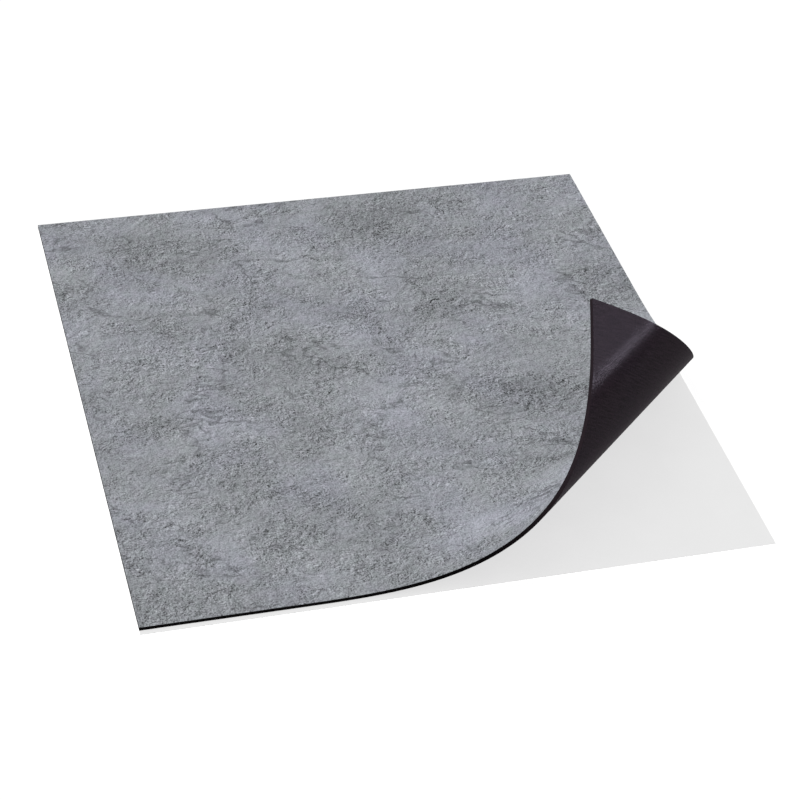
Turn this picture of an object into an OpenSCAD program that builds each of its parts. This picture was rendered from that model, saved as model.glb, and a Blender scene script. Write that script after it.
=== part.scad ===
// Self-adhesive vinyl floor tile on its release paper, with one corner peeled up and rolled back.
// Millimetres. The origin is the middle of the tile's outline, on the surface that the paper lies on.
// +X runs along the front edge to the right, +Y to the back and +Z up.

/* [Tile] */
// Side of the square tile
tile_side = 305; // [250:1:610]
// Thickness of the tile
tile_thickness = 2; // [1.2:0.1:3.2]

/* [Release paper] */
// Thickness of the release paper
paper_thickness = 0.2; // [0.1:0.05:0.5]
// How far the paper has slid out in front of the tile
paper_overhang = 2.5; // [0:0.5:6]

/* [Peeled corner] */
// Length of tile that is off the paper, from the corner back to the first fold line
peel_length = 153; // [100:1:190]
// Angle in plan between the front edge and the line that the corner is rolled back along
peel_heading = 49; // [40:1:50]
// How far the corner's end has turned over, where 180 lies upside down
peel_angle = 143; // [60:1:165]
// Length over which the bend tightens from flat to its smallest radius
lead_in = 89; // [20:1:95]

/* [Hidden] */
// Flat strips that the bend is made of
strips = 80;
half_side = tile_side / 2;
half_thickness = tile_thickness / 2;
strip_length = peel_length / strips;
tile_middle_z = paper_thickness + half_thickness;

// The corner that is peeled, in plan, as it was when the tile lay flat
corner = [half_side, -half_side];
// From the first fold line to the corner, and along the fold lines to the back right
outward = [cos(peel_heading), -sin(peel_heading)];
along_fold = [sin(peel_heading), cos(peel_heading)];
first_fold = corner - peel_length * outward;

// Tightest bend, in degrees a millimetre. The bend grows evenly up to it and eases evenly to none at the tip
tightest_bend = 2 * peel_angle / peel_length;
lead_out = peel_length - lead_in;

// How far the sheet has turned at a length s past the first fold line
function turn_at(s) =
    s < lead_in
    ? tightest_bend * s * s / (2 * lead_in)
    : peel_angle - tightest_bend * pow(peel_length - s, 2) / (2 * lead_out);

// Running sum of a list, that starts from zero
function running_sum(steps) =
    [for (i = 0, sum = 0; i <= len(steps); sum = sum + (i < len(steps) ? steps[i] : 0), i = i + 1) sum];

// Section of the sheet's middle across the fold lines: how far out and how high each fold lies
strip_turns = [for (i = [0:strips - 1]) turn_at((i + 0.5) * strip_length)];
reach = running_sum([for (turn = strip_turns) strip_length * cos(turn)]);
rise = running_sum([for (turn = strip_turns) strip_length * sin(turn)]);

// Distance along a fold line, from the middle of the roll to the front edge and to the right edge
function to_front(s) = (corner.y - first_fold.y - s * outward.y) / along_fold.y;
function to_right(s) = (corner.x - first_fold.x - s * outward.x) / along_fold.x;

// Point of the rolled sheet on fold i, a distance along that fold and a height over the sheet's middle
function sheet_point(i, along, over) =
    let (
        turn = turn_at(i * strip_length),
        out = reach[i] - over * sin(turn),
        plan = first_fold + out * outward + along * along_fold
    )
    [plan.x, plan.y, tile_middle_z + rise[i] + over * cos(turn)];

// The four corners of the sheet's section at fold i: front low, front high, right high, right low
function fold_ring(i) =
    let (s = i * strip_length)
    [
        sheet_point(i, to_front(s), -half_thickness),
        sheet_point(i, to_front(s), half_thickness),
        sheet_point(i, to_right(s), half_thickness),
        sheet_point(i, to_right(s), -half_thickness)
    ];

// Low and high point of one of the tile's flat corners
function flat_corner(x, y) =
    [for (over = [-half_thickness, half_thickness]) [x, y, tile_middle_z + over]];

// The whole tile is one sheet of even thickness: a flat part with five corners, then the strips of the roll
module vinyl_tile() {
    rings = [for (i = [0:strips - 1]) each fold_ring(i)];
    tip = [for (over = [-half_thickness, half_thickness]) sheet_point(strips, to_front(peel_length), over)];
    tip_low = 4 * strips;
    tip_high = tip_low + 1;
    front_left = tip_low + 2;
    back_left = tip_low + 4;
    back_right = tip_low + 6;
    flat_corners = [
        each flat_corner(-half_side, -half_side),
        each flat_corner(-half_side, half_side),
        each flat_corner(half_side, half_side)
    ];
    flat_faces = [
        [front_left + 1, back_left + 1, back_right + 1, 2, 1],
        [front_left, 0, 3, back_right, back_left],
        [front_left, back_left, back_left + 1, front_left + 1],
        [back_left, back_right, back_right + 1, back_left + 1],
        [back_right, 3, 2, back_right + 1],
        [0, front_left, front_left + 1, 1]
    ];
    strip_faces = [
        for (i = [0:strips - 2])
            let (a = 4 * i, b = a + 4)
            each [
                [a + 1, a + 2, b + 2, b + 1],
                [a, b, b + 3, a + 3],
                [a, a + 1, b + 1],
                [a, b + 1, b],
                [a + 2, a + 3, b + 3],
                [a + 2, b + 3, b + 2]
            ]
    ];
    last = tip_low - 4;
    tip_faces = [
        [last + 1, last + 2, tip_high],
        [last, tip_low, last + 3],
        [last, last + 1, tip_high],
        [last, tip_high, tip_low],
        [last + 2, last + 3, tip_low],
        [last + 2, tip_low, tip_high]
    ];
    color([0.56, 0.58, 0.61])
        polyhedron(
            points = concat(rings, tip, flat_corners),
            faces = concat(flat_faces, strip_faces, tip_faces),
            convexity = 6
        );
}

// Sheet of silicone-coated paper, cut to the tile's own size
module release_paper() {
    color([0.9, 0.9, 0.9])
        translate([-half_side, -half_side - paper_overhang, 0])
            cube([tile_side, tile_side, paper_thickness]);
}

vinyl_tile();
release_paper();
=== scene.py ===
import math

import bmesh
import bpy
from mathutils import Matrix, Vector


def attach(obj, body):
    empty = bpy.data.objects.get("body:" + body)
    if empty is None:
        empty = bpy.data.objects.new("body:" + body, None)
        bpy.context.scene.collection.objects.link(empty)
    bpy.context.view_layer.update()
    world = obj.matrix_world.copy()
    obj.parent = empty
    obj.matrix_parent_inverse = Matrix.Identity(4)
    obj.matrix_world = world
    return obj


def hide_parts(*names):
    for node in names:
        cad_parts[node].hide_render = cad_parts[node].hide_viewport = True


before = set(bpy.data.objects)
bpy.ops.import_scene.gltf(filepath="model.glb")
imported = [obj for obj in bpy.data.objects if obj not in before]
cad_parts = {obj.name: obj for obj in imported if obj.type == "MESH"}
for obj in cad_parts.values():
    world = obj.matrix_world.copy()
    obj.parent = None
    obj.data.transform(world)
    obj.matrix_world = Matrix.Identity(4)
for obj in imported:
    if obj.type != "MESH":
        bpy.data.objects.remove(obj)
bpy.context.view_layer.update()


# The vinyl tile
# One sheet of filled vinyl: a printed stone face under a clear wear layer, pressed onto a black base.
# It lies on its release paper, and its front right corner is off the paper and rolled back over the tile.
tile_side = 0.305
tile_thickness = 0.002
paper_thickness = 0.0002
peel_length = 0.153
peel_heading = math.radians(49)
peel_angle = math.radians(143)
lead_in = 0.089
strips = 160
cut_edge_radius = 0.00012

# The sheet is laid with its fold lines along Y and its corner at +X while it is rolled
fold_frame = Matrix.Rotation(peel_heading, 3, "Z")
corner_reach = (fold_frame @ Vector((tile_side / 2, -tile_side / 2, 0))).x
first_fold = corner_reach - peel_length
strip_length = peel_length / strips

bpy.ops.object.select_all(action="DESELECT")
bpy.ops.mesh.primitive_plane_add(size=tile_side, calc_uvs=True, rotation=(0, 0, peel_heading))
tile = bpy.context.object
tile.name = "vinyl_tile_sheet"
bpy.ops.object.transform_apply(location=False, rotation=True, scale=False)

# Each fold line is cut across the sheet
bpy.ops.object.mode_set(mode="EDIT")
for strip in range(strips):
    bpy.ops.mesh.select_all(action="SELECT")
    bpy.ops.mesh.bisect(
        plane_co=(first_fold + strip * strip_length, 0, 0),
        plane_no=(1, 0, 0),
        use_fill=False,
    )


# How far the sheet has turned at a length past the first fold line: the bend tightens, then eases off
def turn_at(length):
    tightest_bend = 2 * peel_angle / peel_length
    if length < lead_in:
        return tightest_bend * length ** 2 / (2 * lead_in)
    return peel_angle - tightest_bend * (peel_length - length) ** 2 / (2 * (peel_length - lead_in))


# The corner is rolled up from its end: each turn takes all that lies past its fold line with it
sheet = bmesh.from_edit_mesh(tile.data)
sheet.verts.ensure_lookup_table()
flat_reach = [vertex.co.x for vertex in sheet.verts]
for strip in reversed(range(strips)):
    fold = first_fold + strip * strip_length
    turned_before = turn_at((strip - 0.5) * strip_length) if strip else 0
    turn = turn_at((strip + 0.5) * strip_length) - turned_before
    bpy.ops.mesh.select_all(action="DESELECT")
    sheet = bmesh.from_edit_mesh(tile.data)
    sheet.verts.ensure_lookup_table()
    for vertex, reach in zip(sheet.verts, flat_reach):
        if reach > fold + strip_length / 4:
            vertex.select = True
    sheet.select_flush_mode()
    bpy.ops.transform.rotate(value=turn, orient_axis="Y", orient_type="GLOBAL", center_override=(fold, 0, 0))
bpy.ops.mesh.select_all(action="SELECT")
bpy.ops.object.mode_set(mode="OBJECT")

# Back to the tile's own place, with its middle half a thickness over the paper
tile.rotation_euler = (0, 0, -peel_heading)
tile.location = (0, 0, paper_thickness + tile_thickness / 2)
bpy.ops.object.transform_apply(location=True, rotation=True, scale=False)

# The sheet gets its thickness to both sides, and its cut edges a small radius.
# Only the folds of the roll are smoothed, so that the faces keep their own slope up to the cut edge
for finish in ("stone_print", "dark_underside", "black_cut_edge"):
    tile.data.materials.append(bpy.data.materials.new(finish))
thickness = tile.modifiers.new("Thickness", "SOLIDIFY")
thickness.thickness = tile_thickness
thickness.offset = 0
thickness.use_even_offset = True
thickness.material_offset = 1
thickness.material_offset_rim = 2
bpy.ops.object.modifier_apply(modifier=thickness.name)
edge_round = tile.modifiers.new("Cut edge", "BEVEL")
edge_round.width = cut_edge_radius
edge_round.segments = 2
edge_round.limit_method = "ANGLE"
edge_round.angle_limit = math.radians(50)
bpy.ops.object.modifier_apply(modifier=edge_round.name)
bpy.ops.object.shade_smooth_by_angle(angle=math.radians(15))


# One material with its node tree, its shader and a call that adds a node and joins its inputs
def open_material(name):
    material = bpy.data.materials.get(name) or bpy.data.materials.new(name)
    material.use_nodes = True
    tree = material.node_tree
    shader = tree.nodes["Principled BSDF"]

    def add(kind, settings=None, values=None):
        made = tree.nodes.new(kind)
        for key, value in (settings or {}).items():
            setattr(made, key, value)
        for key, value in (values or {}).items():
            if isinstance(value, bpy.types.NodeSocket):
                tree.links.new(value, made.inputs[key])
            else:
                made.inputs[key].default_value = value
        return made

    return material, tree, shader, add


stone, tree, shader, add = open_material("stone_print")


# A noise of a given grain size, read in millimetres on the flat sheet
def noise(place, size, detail=2.0, roughness=0.5):
    values = {"Vector": place, "Scale": 1 / size, "Detail": detail, "Roughness": roughness}
    return add("ShaderNodeTexNoise", {"normalize": True}, values)


def math_node(operation, first, second=0.5, third=0.5):
    return add("ShaderNodeMath", {"operation": operation}, {0: first, 1: second, 2: third}).outputs[0]


def ramp(value, low, high, to_low=0.0, to_high=1.0):
    ends = {"Value": value, "From Min": low, "From Max": high, "To Min": to_low, "To Max": to_high}
    return add("ShaderNodeMapRange", {"clamp": True, "interpolation_type": "SMOOTHSTEP"}, ends).outputs[0]


# Places turned in plan, then squeezed, so that a pattern is drawn out where the scale is under one
def stretched(place, degrees, scale):
    turned = add("ShaderNodeMapping", None, {"Vector": place, "Rotation": (0, 0, math.radians(degrees))}).outputs[0]
    return add("ShaderNodeMapping", None, {"Vector": turned, "Scale": scale}).outputs[0]


# Places pushed about by a noise, so that what is read there wanders
def wandering(place, size, far):
    push = noise(place, size, 2).outputs["Color"]
    middle = add("ShaderNodeVectorMath", {"operation": "SUBTRACT"}, {0: push, 1: (0.5, 0.5, 0.5)}).outputs[0]
    scaled = add("ShaderNodeVectorMath", {"operation": "SCALE"}, {0: middle, "Scale": far}).outputs[0]
    return add("ShaderNodeVectorMath", {"operation": "ADD"}, {0: place, 1: scaled}).outputs[0]


# A noise with its middle at zero, times a strength, on top of what is there
def layer(total, field, strength):
    return math_node("MULTIPLY_ADD", math_node("SUBTRACT", field, 0.5), strength, total)


uv = add("ShaderNodeUVMap", {"uv_map": "UVMap"}).outputs["UV"]
in_mm = add("ShaderNodeMapping", None, {"Vector": uv, "Scale": (305, 305, 1)}).outputs[0]
warped = wandering(in_mm, 60, 45)
slanted = stretched(warped, 15, (0.75, 1.25, 1))

# Height of the printed rock at a place: crumpled all over, with creases and with ledges that step up or down
def rock_height(place):
    crumpled = noise(place, 5, 5, 0.74).outputs[0]
    folded = noise(stretched(place, 15, (0.45, 1.1, 1)), 30, 5, 0.55).outputs[0]
    fold = math_node("ABSOLUTE", math_node("SUBTRACT", folded, 0.5))
    open_here = ramp(noise(place, 26, 2).outputs[0], 0.47, 0.57, 0.0, 0.13)
    crease = math_node("MULTIPLY", ramp(fold, 0.0, 0.014), open_here)
    ledge = ramp(noise(place, 32, 7, 0.64).outputs[0], 0.49, 0.51)
    return math_node("MULTIPLY_ADD", ledge, 0.03, math_node("ADD", crease, crumpled))


# The light of the print comes from the back left, so a slope is as bright as its height grows away from there
rock_place = wandering(in_mm, 14, 10)
beside = add("ShaderNodeVectorMath", {"operation": "ADD"}, {0: rock_place, 1: (0.4, -0.35, 0)}).outputs[0]
height = rock_height(rock_place)
relief = math_node("SUBTRACT", rock_height(beside), height)

# Broad clouds and patches. The relief is stronger where the patches are dark
clouds = noise(slanted, 62, 2).outputs[0]
patches = noise(wandering(slanted, 12, 10), 20, 3, 0.6).outputs[0]
coarse_grain = noise(in_mm, 1.7, 1).outputs[0]
fine_grain = noise(in_mm, 0.8, 1).outputs[0]
worn = ramp(layer(patches, noise(in_mm, 9, 2).outputs[0], 0.5), 0.38, 0.62, 1.0, 0.0)
grain_strength = math_node("MULTIPLY_ADD", worn, 0.6, 0.75)
bright = layer(1.0, clouds, 0.95)
bright = layer(bright, patches, 0.5)
bright = layer(bright, height, 0.5)
bright = math_node("MULTIPLY_ADD", relief, math_node("MULTIPLY", grain_strength, 4.6), bright)
bright = layer(bright, coarse_grain, math_node("MULTIPLY", grain_strength, 0.8))
bright = layer(bright, fine_grain, math_node("MULTIPLY", grain_strength, 1.7))

# Small dark pits and pale flecks, the pits mostly where the stone is worn
pit = ramp(noise(in_mm, 1.5, 2, 0.6).outputs[0], 0.33, 0.42, 1.0, 0.0)
pit = math_node("MULTIPLY", pit, math_node("MULTIPLY_ADD", worn, 0.15, 0.04))
fleck = ramp(noise(in_mm, 1.3, 2, 0.6).outputs[0], 0.62, 0.7)
fleck = math_node("MULTIPLY", fleck, 0.22)
bright = math_node("MULTIPLY", bright, math_node("SUBTRACT", math_node("ADD", fleck, 1.0), pit))


# Fine cracks along one height of a wandering field, broken up so that they come and go
def cracks(place, size, middle, width, broken_size):
    field = noise(stretched(place, 15, (0.5, 1.1, 1)), size, 4, 0.5).outputs[0]
    line = ramp(math_node("ABSOLUTE", math_node("SUBTRACT", field, middle)), 0.0, width, 1.0, 0.0)
    shown = ramp(noise(in_mm, broken_size, 3, 0.6).outputs[0], 0.46, 0.56)
    return math_node("MULTIPLY", line, shown)


for crack_size, crack_middle, crack_width, crack_broken, crack_depth in (
    (50, 0.52, 0.0105, 40, 0.42),
    (30, 0.5, 0.0105, 30, 0.36),
    (20, 0.45, 0.012, 20, 0.24),
):
    crack = cracks(rock_place, crack_size, crack_middle, crack_width, crack_broken)
    bright = math_node("MULTIPLY", bright, math_node("MULTIPLY_ADD", crack, -crack_depth, 1.0))

# Lavender grey in the smooth places and a greenish grey in the worn ones, each a little warmer in spots
hue = layer(layer(noise(warped, 45, 3, 0.5).outputs[0], patches, 0.3), clouds, 0.5)
tints = {"Factor": ramp(hue, 0.36, 0.72), 6: (0.2385, 0.2494, 0.2655, 1), 7: (0.2435, 0.2516, 0.284, 1)}
tint = add("ShaderNodeMix", {"data_type": "RGBA"}, tints).outputs[2]
warmth = ramp(noise(in_mm, 6, 5, 0.65).outputs[0], 0.3, 0.7)
tints = {"Factor": warmth, 6: (0.985, 1.012, 0.99, 1), 7: (1.015, 0.99, 1.01, 1)}
warmer = add("ShaderNodeMix", {"data_type": "RGBA"}, tints).outputs[2]
tint = add("ShaderNodeVectorMath", {"operation": "MULTIPLY"}, {0: tint, 1: warmer}).outputs[0]
print_colour = add("ShaderNodeVectorMath", {"operation": "SCALE"}, {0: tint, "Scale": bright}).outputs[0]
tree.links.new(print_colour, shader.inputs["Base Color"])
tree.links.new(ramp(height, 0.3, 0.8, 0.55, 0.68), shader.inputs["Roughness"])
shader.inputs["Specular IOR Level"].default_value = 0.25
emboss = add("ShaderNodeBump", None, {"Strength": 0.25, "Distance": 0.0002, "Height": bright})
tree.links.new(emboss.outputs["Normal"], shader.inputs["Normal"])

# The underside is calendered black vinyl with a brown cast, with a fine grain and brushed crosswise
underside, tree, shader, add = open_material("dark_underside")
uv = add("ShaderNodeUVMap", {"uv_map": "UVMap"}).outputs["UV"]
in_mm = add("ShaderNodeMapping", None, {"Vector": uv, "Scale": (305, 305, 1)}).outputs[0]
brushed = noise(stretched(in_mm, 8, (1.3, 0.12, 1)), 1, 3, 0.6).outputs[0]
grain = noise(in_mm, 0.9, 2, 0.6).outputs[0]
cloudy = noise(in_mm, 40, 3, 0.6).outputs[0]
tints = {"Factor": cloudy, 6: (0.0255, 0.0158, 0.0212, 1), 7: (0.0205, 0.015, 0.022, 1)}
tint = add("ShaderNodeMix", {"data_type": "RGBA"}, tints).outputs[2]
streaks = layer(layer(1.0, brushed, 2.2), grain, 1.6)
film_colour = add("ShaderNodeVectorMath", {"operation": "SCALE"}, {0: tint, "Scale": streaks}).outputs[0]
tree.links.new(film_colour, shader.inputs["Base Color"])
tree.links.new(ramp(brushed, 0.3, 0.7, 0.44, 0.58), shader.inputs["Roughness"])
shader.inputs["Specular IOR Level"].default_value = 0.01
shader.inputs["Specular Tint"].default_value = (1, 0.85, 1, 1)
shader.inputs["Coat Weight"].default_value = 0.0104
shader.inputs["Coat IOR"].default_value = 4.0
shader.inputs["Coat Roughness"].default_value = 0.14
lines = add("ShaderNodeBump", None, {"Strength": 0.8, "Distance": 0.00006, "Height": layer(brushed, grain, 1.0)})
tree.links.new(lines.outputs["Normal"], shader.inputs["Normal"])
tree.links.new(lines.outputs["Normal"], shader.inputs["Coat Normal"])

# The cut edge is the same black vinyl, a little scuffed by the knife. From 5 to 50 mm up it turns from near black to
# the underside's brown
cut_edge, tree, shader, add = open_material("black_cut_edge")
place = add("ShaderNodeTexCoord").outputs["Object"]
in_mm = add("ShaderNodeMapping", None, {"Vector": place, "Scale": (1000, 1000, 1000)}).outputs[0]
height_in_mm = add("ShaderNodeSeparateXYZ", None, {0: in_mm}).outputs["Z"]
browner = ramp(height_in_mm, 5, 50)
tints = {"Factor": browner, 6: (0.002, 0.0017, 0.0018, 1), 7: (0.021, 0.015, 0.0185, 1)}
tint = add("ShaderNodeMix", {"data_type": "RGBA"}, tints).outputs[2]
scuff = noise(in_mm, 3, 3, 0.6).outputs[0]
edge_colour = add("ShaderNodeVectorMath", {"operation": "SCALE"}, {0: tint, "Scale": layer(1.0, scuff, 0.6)}).outputs[0]
tree.links.new(edge_colour, shader.inputs["Base Color"])
tree.links.new(ramp(scuff, 0.3, 0.7, 0.5, 0.7), shader.inputs["Roughness"])
shader.inputs["Specular IOR Level"].default_value = 0.02

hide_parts("vinyl_tile")
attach(tile, "root")


# The release paper
# A plain sheet of bleached paper with a silicone coat, cut to the tile's size.
# It lies under the tile and lies bare where the corner is lifted.
paper, tree, shader, add = open_material("release_paper_coat")
place = add("ShaderNodeTexCoord").outputs["Object"]
in_mm = add("ShaderNodeMapping", None, {"Vector": place, "Scale": (1000, 1000, 1000)}).outputs["Vector"]
fibres = noise(in_mm, 1.5, 4, 0.7).outputs[0]
formation = noise(in_mm, 25, 4, 0.6).outputs[0]
shade = math_node("ADD", math_node("MULTIPLY_ADD", fibres, 0.02, -0.01), math_node("MULTIPLY_ADD", formation, 0.02, 0.99))
paper_colour = add("ShaderNodeVectorMath", {"operation": "SCALE"}, {0: (0.78, 0.78, 0.78), "Scale": shade}).outputs[0]
tree.links.new(paper_colour, shader.inputs["Base Color"])
tree.links.new(ramp(formation, 0.3, 0.7, 0.42, 0.5), shader.inputs["Roughness"])
shader.inputs["Specular IOR Level"].default_value = 0.3
paper_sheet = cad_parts["release_paper"]
paper_sheet.data.materials.clear()
paper_sheet.data.materials.append(paper)


# The floor
# A plain white studio floor, large enough to fill the frame from every side.
bpy.ops.object.select_all(action="DESELECT")
bpy.ops.mesh.primitive_plane_add(size=12, location=(0, 0, -0.0002))
floor = bpy.context.object
floor.name = "studio_floor"
bpy.ops.object.transform_apply(location=True, rotation=False, scale=False)
floor_white, tree, shader, add = open_material("studio_floor_white")
shader.inputs["Base Color"].default_value = (0.97, 0.97, 0.97, 1)
shader.inputs["Roughness"].default_value = 0.9
shader.inputs["Specular IOR Level"].default_value = 0.0
floor.data.materials.append(floor_white)


# The light
# An even white room and one large soft light overhead that throws no shadow, as in a catalogue picture.
# Two lights low on the right only show as gloss: a broad one on the roll's end and a narrow one before it.
room_strength = 0.2
overhead_strength = 0.88
overhead_bearing, overhead_height = -41, 65
gloss_bearing = 91
gloss_colour = (0.89, 0.81, 1.0)

room = bpy.data.worlds.new("white_room")
room.use_nodes = True
room.node_tree.nodes["Background"].inputs["Color"].default_value = (1, 1, 1, 1)
room.node_tree.nodes["Background"].inputs["Strength"].default_value = room_strength
bpy.context.scene.world = room


def far_light(name, toward, wide, energy):
    data = bpy.data.lights.new(name, "SUN")
    data.energy, data.angle = energy, math.radians(wide)
    light = bpy.data.objects.new(name, data)
    bpy.context.collection.objects.link(light)
    light.location = toward
    light.rotation_euler = Vector(toward).to_track_quat("Z", "Y").to_euler()
    return light


# A direction from its bearing, clockwise from the back, and its height over the horizon
def heading(bearing, height):
    bearing, height = math.radians(bearing), math.radians(height)
    return (math.sin(bearing) * math.cos(height), math.cos(bearing) * math.cos(height), math.sin(height))


# The overhead light leans back over the tile, square to the middle of the part that rises into the roll
overhead_energy = overhead_strength * math.pi / math.sin(math.radians(overhead_height))
overhead = far_light("overhead_light", heading(overhead_bearing, overhead_height), 40, overhead_energy)
overhead.data.use_shadow = False
for name, height, wide, energy in (("broad_gloss", 24, 24, 0.92), ("narrow_gloss", 11.5, 2, 0.25)):
    gloss = far_light(name, heading(gloss_bearing, height), wide, energy)
    gloss.data.color = gloss_colour
    gloss.visible_diffuse = False


# The camera
# Low over the front left, turned a little, with the long lens that the photo's straight lines give.
azimuth, elevation, roll = math.radians(-19.034), math.radians(40.212), math.radians(5.674)
distance, aim = 1.1105, Vector((0.00263, -0.02355, 0.0022))
back = Vector(
    (math.sin(azimuth) * math.cos(elevation), -math.cos(azimuth) * math.cos(elevation), math.sin(elevation))
)
level_x = Vector((math.cos(azimuth), math.sin(azimuth), 0))
level_y = back.cross(level_x)
right = math.cos(roll) * level_x + math.sin(roll) * level_y
up = math.cos(roll) * level_y - math.sin(roll) * level_x
camera_data = bpy.data.cameras.new("camera")
camera_data.lens = 99.827
camera_data.sensor_width = 36
camera = bpy.data.objects.new("camera", camera_data)
bpy.context.collection.objects.link(camera)
camera.rotation_euler = Matrix((right, up, back)).transposed().to_euler()
camera.location = aim + back * distance
camera_data.clip_start, camera_data.clip_end = 0.05, 30
bpy.context.scene.camera = camera
bpy.context.scene.view_settings.view_transform = "Standard"
